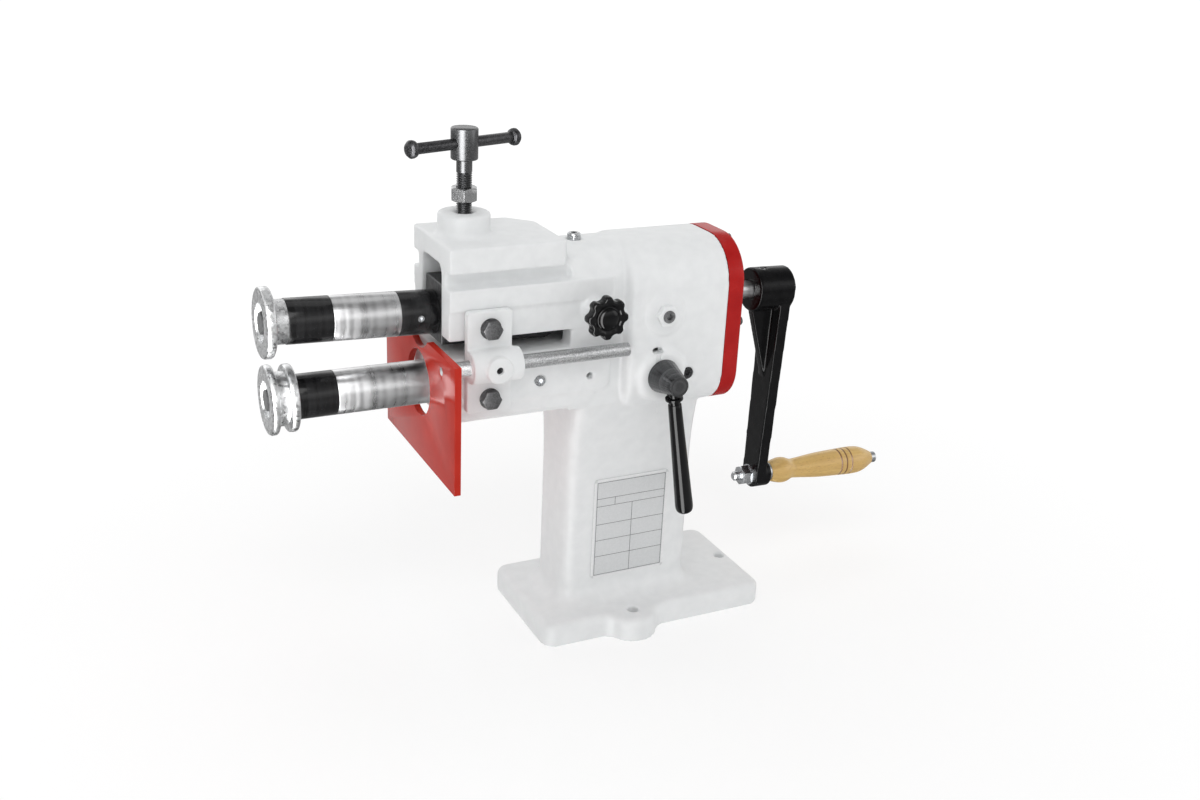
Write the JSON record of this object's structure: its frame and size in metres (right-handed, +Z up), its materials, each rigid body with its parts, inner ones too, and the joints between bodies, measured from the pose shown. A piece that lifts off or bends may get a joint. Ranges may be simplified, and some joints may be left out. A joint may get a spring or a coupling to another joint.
{
  "type": "bead roller",
  "caption": "Hand-cranked bench bead roller: cast pedestal frame, two geared roller shafts, a press screw, a shift lever, a stop plate and a wooden-gripped crank.",
  "frame": {"origin": "centre of the foot's underside, as its rectangular slab is laid out", "axes": "+X along the shafts from the rollers to the crank, +Y away from the lever's side, +Z up"},
  "size_m": [0.6714, 0.189, 0.4946],
  "materials": {
    "cast_white": "semi-gloss enamel on a sand casting",
    "red_paint": "gloss enamel",
    "black_cast": "gloss black enamel on cast iron",
    "black_steel": "blackened steel, oiled",
    "turned_steel": "turned and ground",
    "roller_steel": "rough bright plating",
    "zinc_steel": "zinc plated",
    "grey_steel": "phosphated",
    "bronze": "sintered bronze",
    "phenolic": "polished black moulding",
    "wood": "varnished beech",
    "plate_grey": "satin printed plate"
  },
  "bodies": {
    "frame": {"frame_casting": "cast_white", "rear_cover": "red_paint", "cover_screws": "black_steel", "rating_plate": "plate_grey", "oil_filler_plug": "zinc_steel", "lever_oil_plug": "grey_steel", "gear_access_plug": "grey_steel", "quill_guide_screw": "zinc_steel", "trunnion_screws": "black_steel", "trunnion_lock_nuts": "cast_white", "lift_springs": "grey_steel", "rod_bracket": "cast_white", "rod_clamp_screw": "black_steel", "bracket_bolts": "grey_steel", "bracket_washers": "grey_steel"},
    "swing_arm": {"swing_arm": "black_cast", "swing_arm_bushes": "bronze"},
    "upper_shaft": {"upper_shaft": "turned_steel", "upper_gear_key": "grey_steel", "upper_roller": "roller_steel", "upper_spacer": "black_steel", "upper_sleeve": "turned_steel", "upper_collar": "black_steel", "upper_collar_screw": "black_steel", "upper_roller_screw": "black_steel", "upper_roller_washer": "grey_steel", "upper_gear": "grey_steel", "upper_gear_nut": "grey_steel", "crank_arm": "black_cast", "crank_set_screw": "black_steel", "grip_bolt": "zinc_steel", "grip_nut": "zinc_steel", "grip_washers": "zinc_steel"},
    "crank_grip": {"wooden_grip": "wood"},
    "quill": {"lower_quill": "turned_steel", "quill_bushes": "bronze"},
    "lower_shaft": {"lower_shaft": "turned_steel", "lower_gear_key": "grey_steel", "lower_roller": "roller_steel", "lower_spacer": "black_steel", "lower_sleeve": "turned_steel", "lower_roller_screw": "black_steel", "lower_roller_washer": "grey_steel", "lower_gear": "grey_steel", "lower_gear_nut": "grey_steel"},
    "shift_lever": {"eccentric_shaft": "turned_steel", "lever_hub": "black_steel", "lever_rod": "black_steel", "lever_grip": "phenolic"},
    "clamp_knob": {"clamp_stud": "zinc_steel", "star_knob": "phenolic"},
    "thrust_pad": {"thrust_pad": "grey_steel"},
    "press_screw": {"press_screw": "black_steel"},
    "tommy_bar": {"tommy_bar": "black_steel", "tommy_bar_knobs": "black_steel"},
    "lock_nut": {"press_lock_nut": "black_steel"},
    "stop_plate": {"stop_rod": "zinc_steel", "stop_plate": "red_paint"}
  },
  "joints": [
    {"name": "press_feed", "type": "slide", "parent": "frame", "child": "thrust_pad", "axis": [0, 0, 1], "range_m": [-0.0038, 0]},
    {"name": "press_turn", "type": "hinge", "parent": "thrust_pad", "child": "press_screw", "pos_m": [-0.1845, 0, 0.42], "axis": [0, 0, 1], "range_deg": [-685, 0]},
    {"name": "tommy_slide", "type": "slide", "parent": "press_screw", "child": "tommy_bar", "axis": [0.9511, 0.309, 0], "range_m": [-0.038, 0.038]},
    {"name": "lock_nut_run", "type": "slide", "parent": "press_screw", "child": "lock_nut", "axis": [0, 0, 1], "range_m": [-0.0045, 0.012]},
    {"name": "arm_tilt", "type": "hinge", "parent": "frame", "child": "swing_arm", "pos_m": [-0.0075, 0, 0.32584], "axis": [0, 1, 0], "range_deg": [-1.25, 0], "deforming": ["lift_springs"]},
    {"name": "crank_turn", "type": "hinge", "parent": "swing_arm", "child": "upper_shaft", "pos_m": [-0.0075, 0, 0.32584], "axis": [0.9995, 0, -0.0307], "continuous": true},
    {"name": "grip_spin", "type": "hinge", "parent": "upper_shaft", "child": "crank_grip", "pos_m": [0.22606, 0, 0.11256], "axis": [0.9995, 0, -0.0307], "continuous": true},
    {"name": "lever_turn", "type": "hinge", "parent": "frame", "child": "shift_lever", "pos_m": [-0.0075, -0.079, 0.2665], "axis": [0, 1, 0], "range_deg": [-30, 30]},
    {"name": "quill_shift", "type": "slide", "parent": "frame", "child": "quill", "axis": [1, 0, 0], "range_m": [-0.00265, 0.00265]},
    {"name": "lower_spin", "type": "hinge", "parent": "quill", "child": "lower_shaft", "pos_m": [-0.0075, 0, 0.2665], "axis": [1, 0, 0], "continuous": true},
    {"name": "knob_turn", "type": "hinge", "parent": "frame", "child": "clamp_knob", "pos_m": [-0.078, -0.075, 0.336], "axis": [0, 1, 0], "range_deg": [-90, 360]},
    {"name": "stop_slide", "type": "slide", "parent": "frame", "child": "stop_plate", "axis": [1, 0, 0], "range_m": [-0.095, 0.004]}
  ],
  "couplings": [
    {"joint": "press_turn", "follows": "press_feed", "rad_per_m": 3141.6},
    {"joint": "arm_tilt", "follows": "press_feed", "rad_per_m": 5.6497},
    {"joint": "lower_spin", "follows": "crank_turn", "ratio": -1},
    {"joint": "quill_shift", "follows": "lever_turn", "m_per_rad": 0.005}
  ]
}
